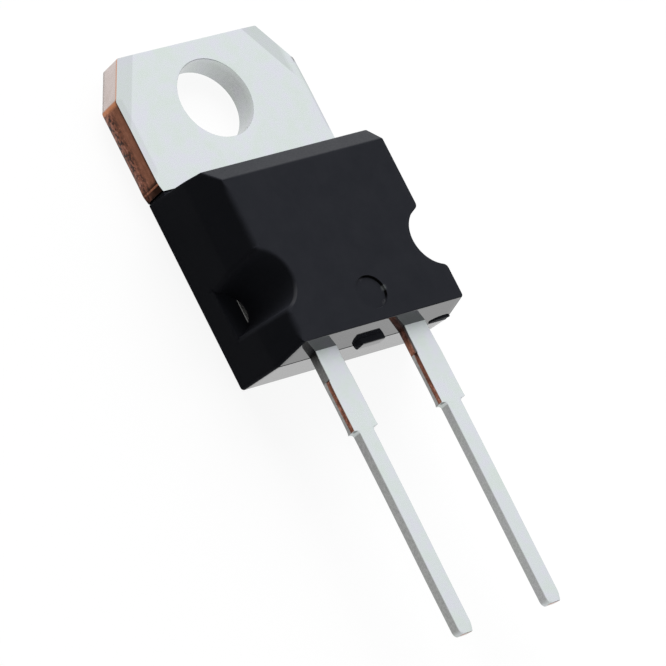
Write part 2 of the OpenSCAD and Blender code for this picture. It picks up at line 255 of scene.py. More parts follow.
def side_path(z, notched, right):
    """One edge of the plan at height z, as if on the right, from the lower end up to the top wall.

    A small corner arc, the straight wall, a lip arc that turns into the notch's circle, that circle,
    the other lip, the wall and the top corner. Below the notch's floor the same points lie on the wall."""
    x, low, high = side_x(z, right), end_y(z), top_y(z)
    zn = z if notched else np.full_like(z, FLOOR_Z)
    xn, radius = side_x(zn, right), NOTCH_R + (zn - TAB_T) * NOTCH_DRAFT
    run = NOTCH_X - xn + LIP
    rise = np.sqrt((radius + LIP) ** 2 - run ** 2)
    turn = np.arctan2(rise, run)
    lip_low, lip_high, s = NOTCH_Y - rise, NOTCH_Y + rise, SIDE_AT
    quarter = math.pi / 2 * s
    circle = math.pi + turn - 2.0 * turn * s
    xs = [x - END_CORNER + END_CORNER * np.sin(quarter), x,
          xn - LIP + LIP * np.cos(turn * s), NOTCH_X + radius * np.cos(circle),
          xn - LIP + LIP * np.cos(turn * (s - 1.0)), x,
          x - CORNER + CORNER * np.cos(quarter)]
    ys = [low + END_CORNER - END_CORNER * np.cos(quarter),
          low + END_CORNER + (lip_low - low - END_CORNER) * s,
          lip_low + LIP * np.sin(turn * s), NOTCH_Y + radius * np.sin(circle),
          lip_high + LIP * np.sin(turn * (s - 1.0)), lip_high + (high - CORNER - lip_high) * s,
          high - CORNER + CORNER * np.sin(quarter)]
    if not notched:
        xs[2] = xs[3] = xs[4] = x
    pick = [SIDE_PART == i for i in range(len(SIDE_COUNTS))]
    return np.select(pick, xs), np.select(pick, ys)


def ring(z, notched=True):
    """The moulding's whole plan at height z, which may differ from point to point.

    Lower end from left to right, right side, top wall from right to left, left side."""
    z = np.broadcast_to(np.asarray(z, float), (COUNT,))
    zb, zr, zt, zl = np.split(z, [END.stop, TOP.start, TOP.stop])
    share, on_right = COLUMNS / REACH, COLUMNS > 0
    bottom = np.stack([share * (side_x(zb, on_right) - END_CORNER), end_y(zb), zb], -1)
    top = np.stack([share[::-1] * (side_x(zt, on_right[::-1]) - CORNER), top_y(zt), zt], -1)
    pad = lambda a: np.concatenate([a[:1], a, a[-1:]])
    xr, yr = side_path(pad(zr), notched, True)
    xl, yl = side_path(pad(zl[::-1]), notched, False)
    right = np.stack([xr[1:-1], yr[1:-1], zr], -1)
    left = np.stack([-xl[1:-1], yl[1:-1], zl[::-1]], -1)[::-1]
    return np.concatenate([bottom, right, top, left])


def inward(loop):
    """Unit vectors in the plan that point from a loop's points into the loop."""
    t = np.roll(loop, -1, 0) - np.roll(loop, 1, 0)
    n = np.stack([-t[:, 1], t[:, 0], np.zeros(len(t))], -1)
    return n / np.linalg.norm(n, axis=1, keepdims=True)


def towards(loop, lower):
    """Unit vectors from each point of a loop to the same point of another."""
    d = lower - loop
    return d / np.linalg.norm(d, axis=1, keepdims=True)


def edges_of(loop):
    """The left and right edges of a loop with their corners, from the lower end to the top wall."""
    left = np.concatenate([loop[TOP.stop - 1:], loop[:1]])[::-1]
    return left, loop[END.stop - 1:TOP.start + 1]


def front_face(loop):
    """The flat front inside a loop: rows join its two sides, and run square around the ejector mark.

    Around the mark the square grid is drawn into circles, and the disc inside lies a little deeper."""
    left, right = edges_of(loop)
    above = TALL + 2 - PATCH_BELOW - len(PATCH)
    middle = np.concatenate([
        np.linspace(right[0, 1], MARK_Y + PATCH[0], PATCH_BELOW)[:-1], MARK_Y + PATCH,
        np.linspace(MARK_Y + PATCH[-1], right[-1, 1], above)[1:]])
    edge = np.where(COLUMNS[:, None] < 0, left[:, None], right[:, None])
    start = np.clip(COLUMNS, PATCH[0], PATCH[-1]) + MARK_X
    x = start + STRETCH * (edge[..., 0] - start) - MARK_X
    y = middle[:, None] + STRETCH * (edge[..., 1] - middle[:, None])
    b = y - MARK_Y
    square, length = np.maximum(abs(x), abs(b)), np.maximum(np.hypot(x, b), HAIR)
    inside = (square < PATCH[-1] + HAIR) & (STRETCH == 0)
    round_off = np.where(inside, 1.0 - step(square, PATCH_ROUND, PATCH[-1]), 0.0)
    grow = 1.0 + round_off * (square / length - 1.0)
    deep = np.where(inside, 1.0 - step(square, MARK_R - 0.045, MARK_R - 0.004), 0.0)
    grid = np.stack([MARK_X + x * grow, MARK_Y + b * grow, FRONT_Z - MARK_DEPTH * deep], -1)
    grid[0], grid[-1] = loop[END], loop[TOP][::-1]
    grid[:, 0], grid[:, -1] = left, right
    return grid


def ejector_mark_light(face):
    """Painted light on the front face at the ejector mark: painted shade in its rim at the upper right, two
    painted sheens inside the rim and a painted glint.
    """
    x, y = face[..., 0] - MARK_X, face[..., 1] - MARK_Y
    around, off = np.degrees(np.arctan2(y, x)), np.hypot(x, y) - MARK_R
    rim, inner = abs(off + 0.024) < 0.024, abs(off + 0.065) < 0.03
    glint = np.exp(-((off + 0.03) / 0.06) ** 2 - ((around - 4) / 5.0) ** 2)
    glow = np.maximum(np.exp(-((around + 48) / 12) ** 2), 0.6 * np.exp(-((around - 106) / 11) ** 2))
    dark = rim * step(np.cos(np.radians(around - 35)), 0.25, 0.6) * (1 - glint)
    return {"soot": dark, "dull": inner * glow, "fresh": glint}


def back_face(loop):
    """The flat back inside a loop: straight rows between its two sides."""
    left, right = edges_of(loop)
    edge = np.where(COLUMNS[:, None] < 0, left[:, None], right[:, None])
    grid = np.stack([edge[..., 0] * abs(COLUMNS / REACH), edge[..., 1], edge[..., 2]], -1)
    grid[0], grid[-1] = loop[END], loop[TOP][::-1]
    return grid


def rounded_bar(shell, centre, half, heights, y_out, corners, edges, shine=False, lean=None):
    """A bar along -Y: a rounded rectangle in X and Z, carried to y_out, where its edge rounds off.

    Its left and right corners and end edges have radii of their own. At both ends the rectangle shrinks to
    a line across the flat end. With shine the outer end is polished, up to its front edge. With lean the
    rectangle is an ellipse instead, whose right end lies higher by that much than its middle."""
    around = np.linspace(0, 2 * math.pi, 48, endpoint=False)
    across, upward, steep = np.cos(around), np.sin(around), 9.0
    turn = np.linspace(0, math.pi / 2, 5)[:, None]
    mid, tall = sum(heights) / 2, (heights[1] - heights[0]) / 2
    edge = edges[1] + (edges[0] - edges[1]) * step(-across, 0.2, 0.95)
    flat = np.ones_like(edge)
    start, stop = BAR_START * flat, y_out * flat
    inset = np.vstack([tall * flat, 0.0 * flat, edge * (1 - np.cos(turn)), (edge + tall) / 2, tall * flat])
    y = np.vstack([start, start, stop + edge * (1 - np.sin(turn)), stop, stop])
    wide, tall = half - inset, tall - inset
    bend = np.minimum(np.where(across < 0, *corners), np.minimum(wide, tall))
    x = centre + (wide - bend) * np.clip(steep * across, -1, 1) + bend * across
    z = mid + (tall - bend) * np.clip(steep * upward, -1, 1) + bend * upward
    if lean is not None:
        x, z = centre + wide * across, mid + tall * upward + lean * across
    row = np.arange(len(y) - 1)[:, None]
    bright = (row >= 6) | ((row >= 3) & (upward > 0) & (across > -0.2))
    shell.add(np.stack([x, y, z], -1), wrap=True, finish=np.where(bright & shine, POLISHED, MATTE))


def block(shell, stations, centre, half):
    """A flat strip: a rectangle carried along stations of Y with a low and a high Z."""
    y, low, high = np.array(stations).T
    x = np.array([-half, half, half, -half])
    z = np.stack([low, low, high, high], 1)
    rows = np.stack([np.repeat(centre + x[None], len(y), 0), np.repeat(y[:, None], 4, 1), z], -1)
    shell.add(rows, wrap=True)
    for row in (rows[0], rows[-1]):
        shell.add(np.stack([row[[0, 1]], row[[3, 2]]]))


def moulding(matte, polished, satin):
    """The moulding: front face, rounded front edge, drafted walls, notch floors, back edge and back face.

    Every wall row is the plan at one height. Near the front, each point runs on a parabola from the wall
    to the face, over a short length that is greater along the left side and its notch. A fine seam stands
    out along the lower end's parting line. Nub, gate scar and flash are closed bars."""
    shell = Shell()
    sharp = ring(FRONT_Z)
    near = np.minimum(sharp[:, 1] - sharp[0, 1], sharp[TOP.start, 1] - sharp[:, 1])
    along = np.concatenate([SIDE_AT[1:-1], SIDE_AT[-2:0:-1]])
    part = np.concatenate([SIDE_PART[1:-1], SIDE_PART[-2:0:-1]])
    softer = (SIDES >= TOP.stop) * np.where(np.isin(part, NOTCH_PARTS), NOTCH_SOFT, LEFT_SOFT)
    soft, rim_highlight = np.full(COUNT, EDGE_SOFT), np.zeros(COUNT)
    soft[TOP] = TOP_SOFT
    soft[SIDES] += softer * step(near[SIDES], 0.05, 0.6)
    # Painted highlight on each notch's rounded front edge, along the lower part of its circle
    rim_highlight[SIDES] = (part == NOTCH_PART) * step(along, 0.0, 0.12) * (1 - step(along, 0.26, 0.44))
    down, inside = towards(sharp, ring(FRONT_Z - NUDGE)), inward(sharp)
    s = np.linspace(1, 0, 7)[:, None, None]
    front_edge = sharp + soft[:, None] * ((1 - s) ** 2 * down + s ** 2 * inside)
    brink = ring(front_edge[-1, :, 2] - 0.025)
    face = front_face(front_edge[0])
    shell.add(face, **ejector_mark_light(face))
    heights = np.array([
        4.18, 3.95, 3.77, 3.73, 3.70, 3.67, 3.63, 3.40, 3.05, 2.86, 2.80, 2.76, 2.745, 2.725, 2.712, 2.70,
        2.688, 2.675, 2.655, 2.64, 2.60, 2.54, 2.2, 1.7, 1.32, FLOOR_Z])
    seam = SEAM * np.exp(-((heights - PART_Z) / SEAM_SPREAD) ** 2)
    walls = np.stack([ring(h) for h in heights])
    walls[:, END] -= seam[:, None, None] * np.stack([inward(w) for w in walls])[:, END]
    floor = ring(FLOOR_Z, notched=False)
    floor_edge = floor + 0.03 * inward(floor) * (walls[-1] != floor).any(1)[:, None]
    low_heights = np.array([FLOOR_Z - 0.03, 0.9, 0.4, 0.1])
    lower = np.stack([floor_edge] + [ring(h, notched=False) for h in low_heights])
    base = ring(BACK_Z, notched=False)
    up, inside = towards(base, ring(BACK_Z + NUDGE, notched=False)), inward(base)
    s = np.linspace(0, 1, 5)[:, None, None]
    back_edge = base + BACK_SOFT * ((1 - s) ** 2 * up + s ** 2 * inside)
    rows = np.concatenate([front_edge, brink[None], walls, lower, back_edge])
    finish = np.full((len(rows) - 1, COUNT), MATTE)
    finish[4:, :END.stop - 1] = POLISHED
    finish[2:, TOP.start:TOP.stop - 1] = SATIN
    z_mid = (rows[:-1, 0, 2] + rows[1:, 0, 2]) / 2
    finish[abs(z_mid - PART_Z) < SEAM_HALF] = MATTE
    rim_highlight_rows = np.zeros(rows.shape[:2])
    rim_highlight_rows[2:6] = rim_highlight
    shell.add(rows, wrap=True, finish=finish, dull=rim_highlight_rows)
    shell.add(back_face(back_edge[-1]))
    rounded_bar(shell, NUB_X, NUB_HALF, (NUB_LOW, LEAD_FRONT), NUB_END, (0.24, 0.09), (0.22, 0.05),
                shine=True)
    rounded_bar(shell, GATE_X, GATE_HALF, (GATE_LOW, GATE_HIGH), GATE_END, (0.1, 0.1), (0.02, 0.02),
                lean=GATE_LEAN)
    for x, half in FLASH:
        block(shell, [(WALL_Y - 0.15, 0.03, 1.22), (SHOULDER_Y - 0.003, 0.04, 1.20)], x, half)
    return shell.build("moulding", [matte, polished, satin])


# Tab and header

def tab_outline():
    """The plate's outline: straight edges joined by small parabolas at the corners.

    Gives the points, the way each one moves when the outline shrinks by one, and its edge's number."""
    half = [(TAB_HALF - CUT_X, TAB_TOP), (TAB_HALF, TAB_TOP - CUT_Y), (TAB_HALF, SHOULDER_Y + SHOULDER_UP),
            (TAB_HALF - SHOULDER_IN, SHOULDER_Y), (HEADER_HALF, SHOULDER_Y), (HEADER_HALF, HEADER_END)]
    corners = np.array([(-x, y) for x, y in half] + half[::-1])
    after, before = np.roll(corners, -1, 0), np.roll(corners, 1, 0)
    unit = lambda v: v / np.linalg.norm(v, axis=-1, keepdims=True)
    ahead, behind = unit(after - corners), unit(before - corners)
    normal = np.stack([-ahead[:, 1], ahead[:, 0]], -1)
    earlier = np.roll(normal, 1, 0)
    mitre = (normal + earlier) / (1 + (normal * earlier).sum(1, keepdims=True))
    bend = np.linspace(0, 1, 5)[:, None, None]
    arcs = corners + TAB_CORNER * ((1 - bend) ** 2 * behind + bend ** 2 * ahead)
    along = np.linspace(0, 1, 26)[1:-1][:, None, None]
    edges = arcs[-1] + along * (np.roll(arcs[0], -1, 0) - arcs[-1])
    moves = mitre + along * (np.roll(mitre, -1, 0) - mitre)
    points = np.concatenate([arcs, edges]).transpose(1, 0, 2)
    moves = np.concatenate([np.broadcast_to(mitre, arcs.shape), moves]).transpose(1, 0, 2)
    number = np.repeat(np.arange(len(corners)), points.shape[1])
    return points.reshape(-1, 2), moves.reshape(-1, 2), number


def from_cut(x, y):
    """Distance from a point of the plate to the nearer cut corner's line."""
    return (CUT_Y * (TAB_HALF - CUT_X - abs(x)) + CUT_X * (TAB_TOP - y)) / math.hypot(CUT_X, CUT_Y)


def tab(metal):
    """The plate: rings around the hole on both faces, and its rounded outer and inner edges.

    Each outer ring is the outline moved inwards. Along the cut corners the front is pressed down to a narrow
    slope, along the left side it rolls over, and along the header's edge it has a low lip."""
    shell = Shell()
    points, moves, edge = tab_outline()
    x, y = points.T
    cut, flank, shoulder, ledge, header = (
        np.isin(edge, numbers) for numbers in (CUTS, FLANKS, SHOULDERS, LEDGES, HEADER_EDGES))
    left_flank, right_flank = (edge == number for number in FLANKS)
    header |= (abs(x) < HEADER_HALF + 1.1 * TAB_CORNER) & (y < SHOULDER_Y + HAIR)
    seen = (cut | flank | (edge == TOP_EDGE)) * step(y - SHOULDER_Y - SHOULDER_UP, 0.0, 0.7)
    moves = moves * np.where(header, 1.0, 0.05 + 0.95 * seen)[:, None]
    moves[header & (y > HEADER_SHOWN - 0.5), 1] = 0.0
    key = KEY_W * (header & (y < SHOULDER_Y - HAIR))
    share = np.where(header, 0.5 * step(-y, -HEADER_SHOWN, 1.0 - HEADER_SHOWN), 1.0)

    def at(d, z):
        """The outline moved inwards by d, at height z."""
        d, z = np.broadcast_to(d, edge.shape), np.broadcast_to(z, edge.shape)
        return np.concatenate([points + d[:, None] * moves, z[:, None]], 1)

    def front(d):
        """The outline moved inwards by d on the front, with its slopes and the header's lip."""
        row = at(d, TAB_T)
        slope = np.clip(1 - from_cut(row[:, 0], row[:, 1]) / PRESSED, 0, 1)
        roll = left_flank * np.clip(1 - d / ROLLED, 0, 1) ** 2
        row[:, 2] -= seen * (PRESS_DEPTH * slope + ROLL_DEPTH * roll)
        row[:, 2] += header * np.interp(d, [0, 0.24, 0.32], [0, HEADER_LIP, 0])
        return row

    steps = np.array([0.66, 0.61, 0.58, 0.46, 0.36, 0.28, 0.2, 0.13])
    rim = at(steps[0] * share, TAB_T)
    angle = np.arctan2(rim[:, 1], rim[:, 0])
    circle = lambda r, z: np.stack([r * np.cos(angle), r * np.sin(angle), np.full_like(angle, z)], -1)
    soft = np.where(header, 0.02, np.where(right_flank, 0.012, 0.035))
    turn = np.linspace(0, 1, 5)
    hole_edge = [circle(HOLE_R + HOLE_SOFT * s ** 2, TAB_T - HOLE_SOFT * (1 - s) ** 2) for s in turn]
    start = hole_edge[-1]
    fan = [start + t * (rim - start) for t in np.linspace(0, 1, 9)[1:-1]]
    bands = [front(d * share) for d in steps]
    outer_edge = [front(soft * s ** 2) - soft[:, None] * [0, 0, (1 - s) ** 2] for s in np.linspace(1, 0, 6)]
    wall = [at(0.0, z) for z in (1.1, 1.0, 0.8, 0.6, KEY_H)] + [at(key, KEY_H)]
    foot = [at(key, 0.03), at(key + 0.02, 0.0)]
    back_rim, back_hole = foot[-1], circle(HOLE_R + HOLE_SOFT, 0.0)
    back = [back_rim + t * (back_hole - back_rim) for t in np.linspace(0, 1, 9)[1:]]
    bore = [circle(HOLE_R, z) for z in (0.03, 0.3, 0.6, 0.9)]
    rows = np.stack(hole_edge + fan + bands + outer_edge + wall + foot + back + bore + hole_edge[:1])

    # Rows of the outer bands, the upper and the lower half of the rounded edge, the wall, and the lip
    first = len(hole_edge) + len(fan)
    edge_row = first + len(bands)
    turn_row, wall_row = edge_row + 3, edge_row + len(outer_edge)
    band, brim, bend = slice(first + 5, turn_row), slice(edge_row, turn_row), slice(turn_row, wall_row)
    skirt, lip = slice(turn_row, wall_row + len(wall) + 1), slice(first, wall_row)
    spot, crest = 0.07, 0.035
    below_cut, outside = y - TAB_TOP + CUT_Y, abs(x) > TAB_HALF - 0.15
    ridge = abs(y - SHOULDER_Y - SHOULDER_UP) < crest
    shown = header & (y < HEADER_SHOWN)
    dull, blush, copper, fresh, soot = (np.zeros(rows.shape[:2]) for _ in range(5))
    # Painted shade: the rolled left flank's band, the right flank's rounded edge and a spot at the lower end
    # of the right cut are greyer
    dull[band] = seen * np.where(left_flank, 0.12, 0.0)
    dull[brim] = np.where(right_flank, 0.3 * seen, dull[brim])
    dull[brim] = np.where(np.hypot(x - TAB_HALF, below_cut) < spot, 1.0, dull[brim])
    # The walls other than flanks and cut corners are greyer: partly their sheared finish, partly painted
    # shade
    dull[skirt] = np.where(flank | cut, 0.0, 0.4)
    blush[skirt] = cut
    copper[skirt] = flank | shoulder
    fresh[bend] = 0.75 * cut
    fresh[skirt] = np.maximum(fresh[skirt], 0.6 * (abs(below_cut) < spot) * outside)
    # Painted highlight: a faint line of bright copper along the ridge above each shoulder
    fresh[skirt] = np.maximum(fresh[skirt], 0.06 * ridge * outside)
    # Painted shade on the walls: on the flanks close to the shoulders, on the ledges under them, deepening
    # towards the front on the shoulder cuts, and on the flanks' rounded edges, but none on the ridge
    soot[skirt] = np.where(flank, 0.15 * step(-y, 2.75, 3.0), ledge)
    soot[skirt] = np.where(shoulder, 0.42 + 0.32 * step(rows[skirt, :, 2], 0.2, 0.9), soot[skirt])
    soot[skirt] *= 1 - ridge
    soot[bend] = np.where(flank, 0.4, soot[bend])
    # Painted shade on the header's lip where it shows in the notches
    dull[lip], soot[lip] = np.where(shown, 1.0, dull[lip]), np.where(shown, 0.25, soot[lip])
    # Painted shade in the bore: greyer all round and most on its right, and half as much on the hole's front
    # edge
    shade = 0.40 + 0.26 * np.exp(-(np.degrees(angle - math.radians(15)) / 38) ** 2)
    dull[-len(bore) - 1:] = shade
    dull[:2] = 0.5 * shade
    shell.add(rows, wrap=True, dull=dull, blush=blush, copper=copper, fresh=fresh, soot=soot)
    return shell.build("tab_plate", [metal])


# Leads

def lead_marks(y, order, on_left, root_copper):
    """Marks of a lead's rows at y and of its section's points, whose numbers are given in order.

    Point 4 and those beside it round off the front, and 5 to 9 are the side, which is greyer, partly from its
    sheared finish and partly as painted shade. The sheared stretch is bare copper in front of its step, and
    the root's left side is copper or plate under painted shade where it meets the moulding."""
    within = lambda low, high: (order >= low) & (order <= high)
    away = lambda start, stop: step(-y, start, stop)
    root = (y > ROOT_END) & (y < INSIDE_Y)
    # The side and its rounded front edge are greyer, partly their sheared finish and partly painted shade:
    # less under the ear, set per lead on the pin, and less towards the tip on the left
    dull = within(5, 9) + 0.8 * (order == 4) + 0.3 * (order == 3)
    dull = dull * np.where((y < EAR_END) & (y > PIN_Y), 0.5, 1.0)
    dull = dull * np.where(y < PIN_Y, 0.83 if root_copper else 0.90, 1.0)
    dull = dull * np.where(on_left, 1 - 0.45 * away(25.9, 26.1), 1.0)
    bare = ((y < ROOT_END) & (y > BARE_END)) | (y == TIP_Y)
    copper = bare * within(4, 7) * 1.0
    # Painted shade on the pin's sides just below the ear
    soot = 0.05 * within(4, 9) * (y < PIN_Y) * (1 - away(16.9, 18.5))
    fresh = 0.0
    if root_copper:
        copper = np.maximum(copper, root * on_left * (within(6, 9) + 0.25 * (order == 5)))
        # Painted shade where the root meets the moulding, on the front edge and on the side
        upper = np.interp(-y, [12.7, 12.9, 13.2, 13.5, 14.0], [0.55, 0.42, 0.40, 0.30, 0.25])
        upper = upper + 0.2 * (order == 4)
        lower = np.interp(-y, [12.75, 12.85, 12.95, 13.05, 13.25, 13.5], [0.50, 0.30, 0.33, 0.35, 0.12, 0.0])
        soot = soot + root * on_left * (within(4, 5) * upper + within(6, 9) * lower)
        fresh = root * on_left * within(6, 9) * 0.07 * away(13.1, 13.5)
    else:
        # Painted shade where the root meets the moulding, fading down the lead
        root_shade = np.interp(0.05 * within(8, 9) - y, [12.7, 12.8, 12.9, 13.0, 13.2, 13.5, 14.0],
                          [0.86, 0.80, 0.61, 0.50, 0.42, 0.34, 0.29])
        soot = soot + root * on_left * within(4, 9) * root_shade
    rough = within(0, 3) * (1 - away(13.4, 16.4))
    return {"copper": copper, "dull": dull, "soot": soot, "fresh": fresh, "rough": rough}


def lead(name, metal, centre, hidden, root_copper, nearer, sway):
    """A flat lead: one section carried from its hidden end to the tip, with its width given along the way.

    The section has rounded front edges, and a step in its left side where the tie bar was sheared off.
    The front rises a little at the moulding, and the tip leans a little. The sheared stretch may lie a
    little nearer to the moulding, and the pin may sway aside.
    The hidden end is a list of places with a half-width and a drop in height."""
    table = np.array([(y, half, half, half) for y, half, _ in hidden]
                     + [(y, ROOT_HALF, ROOT_HALF, right) for y, right in ROOT] + list(SHEARED)
                     + [(y, left, left, right) for y, left, right in PIN])
    y, front, back, other = table.T[:, :, None]
    drop = np.zeros_like(y)
    drop[:len(hidden), 0] = [down for _, _, down in hidden]
    which, inside, height = SECTION.T
    away = lambda start, stop: step(-y, start, stop)
    middle = centre + sway * away(19.0, 25.0)
    along = y + nearer * (away(12.9, 13.9) - 0.45 * away(17.0, 25.0))
    along = along + TIP_LEAN * away(-TIP_START, -TIP_Y) * (LEAD_FRONT - height)
    tuck = TIP_TUCK * (y == TIP_Y)
    rise = RISE_SLOPE * np.clip(y - RISE_START, 0.0, RISE_RUN) * (y < INSIDE_Y) * (height > RISE_Z)
    z = height - drop + tuck * np.sign(LEAD_MID - height) + rise
    side = lambda wide, way: np.stack([middle + way * np.maximum(wide - inside, 0.0), along, z], -1)
    right, left = side(other, 1), side(np.where(which == 0, front, back), -1)
    loops = np.concatenate([right, left[:, -2:0:-1]], 1)
    order = np.concatenate([np.arange(len(SECTION)), np.arange(len(SECTION) - 2, 0, -1)])
    on_left = np.arange(len(order)) >= len(SECTION)
    shell = Shell()
    shell.add(loops, wrap=True, **lead_marks(y, order, on_left, root_copper))
    for row, tone in ((0, 0.0), (-1, 0.85)):
        hub = np.broadcast_to(loops[row].mean(0), loops[row].shape)
        cut = np.stack([tone * (height[order] > LEAD_MID), np.full(len(order), tone)])
        shell.add(np.stack([loops[row], hub]), wrap=True, copper=cut, fresh=0.6 * cut, dull=0.5 * (cut == 0))
    return shell.build(name, [metal])


# Materials

def wire(tree, kind, *sources, **values):
    """Adds a node, sets its values by name, and joins sources to its first sockets or sets numbers there."""
    node = tree.nodes.new(kind)
    for name, value in values.items():
        if hasattr(node, name):
            setattr(node, name, value)
        else:
            node.inputs[name.replace("_", " ")].default_value = value
    for socket, source in zip(node.inputs, sources):
        if isinstance(source, bpy.types.NodeSocket):
            tree.links.new(source, socket)
        else:
            socket.default_value = source
    return node


def new_material(name):
    """A new material with its node tree, its shader and its object coordinates."""
    material = bpy.data.materials.new(name)
    material.use_nodes = True
    tree = material.node_tree
    coords = wire(tree, "ShaderNodeTexCoord").outputs["Object"]
    return material, tree, tree.nodes["Principled BSDF"], coords


def noise(tree, coords, scale, detail=3.0, rough=0.5, stretch=None):
    """A noise texture on object coordinates, drawn out along the axes if stretch is given."""
    if stretch:
        coords = wire(tree, "ShaderNodeMapping", coords, Scale=stretch).outputs["Vector"]
    node = wire(tree, "ShaderNodeTexNoise", coords, Scale=scale, Detail=detail, Roughness=rough)
    return node.outputs["Fac"]


def colours(tree, factor, stops):
    """A colour ramp over a factor, from stops of place and colour."""
    node = wire(tree, "ShaderNodeValToRGB", factor)
    items = node.color_ramp.elements
    while len(items) < len(stops):
        items.new(0.5)
    for item, (place, colour) in zip(items, stops):
        item.position, item.color = place, (*colour, 1.0)
    return node.outputs["Color"]


def blend(tree, factor, first, second):
    """Mixes a colour from a socket with a plain one, or with one from another socket, by a factor."""
    node = wire(tree, "ShaderNodeMix", factor, data_type="RGBA")
    first_in, second_in = [s for s in node.inputs if s.type == "RGBA"]
    tree.links.new(first, first_in)
    if isinstance(second, tuple):
        second_in.default_value = (*second, 1.0)
    else:
        tree.links.new(second, second_in)
    return [s for s in node.outputs if s.type == "RGBA"][0]


def span(tree, factor, low, high, start=0.0, end=1.0):
    """Maps a factor from start..end to low..high."""
    limits = {"From_Min": start, "From_Max": end, "To_Min": low, "To_Max": high}
    return wire(tree, "ShaderNodeMapRange", factor, **limits).outputs["Result"]


def mark(tree, name):
    """A piece's own mark of that name."""
    return wire(tree, "ShaderNodeAttribute", attribute_name=name).outputs["Fac"]


def grain(tree, shader, height, strength):
    """Fine relief on a shader's normal."""
    node = wire(tree, "ShaderNodeBump", Strength=strength, Distance=0.01 * MM)
    tree.links.new(height, node.inputs["Height"])
    tree.links.new(node.outputs["Normal"], shader.inputs["Normal"])


def tin_plate():
    """Satin tin plate with faint clouds, greyer on sheared edges and under painted shade, bare streaked
    copper where cut later.

    On the tab's front, painted shade darkens the pressed strips beside the cut corners. The copper has dark
    and light specks, the dark ones fainter on the leads, and a plainer band 1 mm up. Near-black painted shade
    takes the metal away."""
    material, tree, shader, coords = new_material("tin_plate")
    maths = lambda kind, a, b=0.0: wire(tree, "ShaderNodeMath", a, b, operation=kind).outputs[0]
    times = lambda a, b: maths("MULTIPLY", a, b)
    x, y, z = wire(tree, "ShaderNodeSeparateXYZ", coords).outputs
    clouds = noise(tree, coords, 1300.0, 5.0, 0.6)
    fine = noise(tree, coords, 9000.0, 3.0, 0.6)

    # Painted shade: the pressed strips beside the cut corners are darkened on the tab's front, more towards
    # the right and less at the right edge
    reach = maths("ADD", times(maths("ABSOLUTE", x), CUT_Y), times(y, CUT_X))
    edge = (CUT_Y * (TAB_HALF - CUT_X) + CUT_X * TAB_TOP) * MM
    width = PRESSED * math.hypot(CUT_X, CUT_Y) * MM
    strip = span(tree, reach, 0.0, 1.0, edge - 1.04 * width, edge - 0.97 * width)
    strip = times(strip, span(tree, x, 0.26, 0.36, -4.0 * MM, 4.0 * MM))
    strip = times(strip, span(tree, x, 1.0, 0.2, 4.5 * MM, 4.73 * MM))
    strip = times(strip, span(tree, z, 0.0, 1.0, 0.9 * MM, 1.1 * MM))
    plate = blend(tree, strip, colours(tree, clouds, TIN), PRESSED_SHADE_TIN)

    streaks = noise(tree, coords, 1500.0, 4.0, 0.65, (1.0, 0.30, 3.0))
    specks = noise(tree, coords, 6000.0, 4.0, 0.6, (1.0, 0.8, 1.2))
    away = span(tree, maths("ABSOLUTE", maths("SUBTRACT", z, 1.0 * MM)), 0.15, 1.0, 0.2 * MM, 0.6 * MM)
    darker = times(span(tree, specks, 0.0, 0.95, 0.51, 0.585), span(tree, z, 1.0, 0.5, 1.5 * MM, 2.5 * MM))
    lighter = span(tree, specks, 0.6, 0.0, 0.36, 0.44)
    band = times(maths("SUBTRACT", 1.0, away), 0.65)
    copper = blend(tree, band, colours(tree, streaks, COPPER), PLAIN_COPPER)
    copper = blend(tree, times(darker, away), copper, DARK_COPPER)
    copper = blend(tree, times(lighter, away), copper, LIGHT_COPPER)

    soot = mark(tree, "soot")
    base = blend(tree, mark(tree, "dull"), plate, colours(tree, fine, SHEARED_AND_SHADED_TIN))
    base = blend(tree, mark(tree, "blush"), base, colours(tree, clouds, BLUSHED_TIN))
    base = blend(tree, mark(tree, "copper"), base, copper)
    base = blend(tree, mark(tree, "fresh"), base, FRESH_COPPER)
    # Painted shade turns the colour near-black and takes the metal away
    base = blend(tree, soot, base, SHADE_TONE)
    rough = maths("ADD", span(tree, fine, 0.20, 0.32), times(mark(tree, "rough"), 0.11))
    tree.links.new(base, shader.inputs["Base Color"])
    tree.links.new(rough, shader.inputs["Roughness"])
    tree.links.new(span(tree, soot, 1.0, 0.0), shader.inputs["Metallic"])
    shader.inputs["Specular IOR Level"].default_value = 0.0
    grain(tree, shader, fine, 0.12)
    return material


def epoxy(name, rough, level, index, strength):
    """Black moulding compound: a dark ground with a faint mottle and a fine grain.

    It takes a paler tone for painted highlights on the notch rims and in the ejector mark, a near-black
    painted shade in the ejector mark's rim, and a light tone for its painted glint."""
    material, tree, shader, coords = new_material(name)
    mottle = noise(tree, coords, 900.0, 4.0, 0.6)
    fine = noise(tree, coords, 14000.0, 2.0, 0.6)
    # Painted light: a highlight tone, a shade tone in the ejector mark's rim, and a glint tone
    base = blend(tree, mark(tree, "dull"), colours(tree, mottle, EPOXY), HIGHLIGHT_EPOXY)
    base = blend(tree, mark(tree, "soot"), base, SHADE_EPOXY)
    base = blend(tree, mark(tree, "fresh"), base, EPOXY_GLINT)
    tree.links.new(base, shader.inputs["Base Color"])
    tree.links.new(span(tree, fine, rough[0], rough[1], 0.3, 0.7), shader.inputs["Roughness"])
    shader.inputs["Specular IOR Level"].default_value = level
    shader.inputs["IOR"].default_value = index
    grain(tree, shader, fine, strength)
    return material


